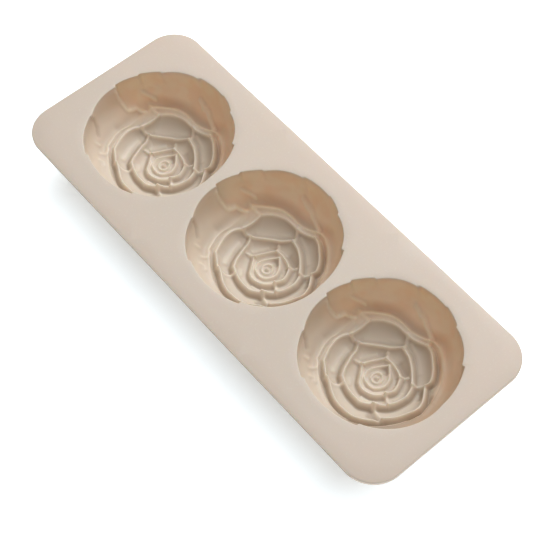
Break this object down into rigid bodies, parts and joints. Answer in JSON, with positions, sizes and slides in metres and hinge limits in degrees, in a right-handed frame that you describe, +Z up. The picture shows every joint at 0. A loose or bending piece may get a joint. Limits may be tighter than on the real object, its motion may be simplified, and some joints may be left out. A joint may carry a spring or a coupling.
{
  "type": "silicone soap mould",
  "caption": "Flexible tray mould with a flat deck and a row of round cups, each with an open-rose relief in its floor, for casting soap.",
  "frame": {"origin": "middle of the footprint, on the plane that the undersides of the cups stand on", "axes": "+X along the row of cups, +Y across the deck, +Z up out of the cups"},
  "size_m": [0.26, 0.102, 0.032],
  "materials": {
    "silicone": "satin, cream-beige, slightly translucent"
  },
  "bodies": {
    "root": {"deck": "silicone", "cup_wall_left": "silicone", "cup_wall_middle": "silicone", "cup_wall_right": "silicone", "rose_floor_left": "silicone", "rose_floor_middle": "silicone", "rose_floor_right": "silicone"}
  },
  "joints": []
}
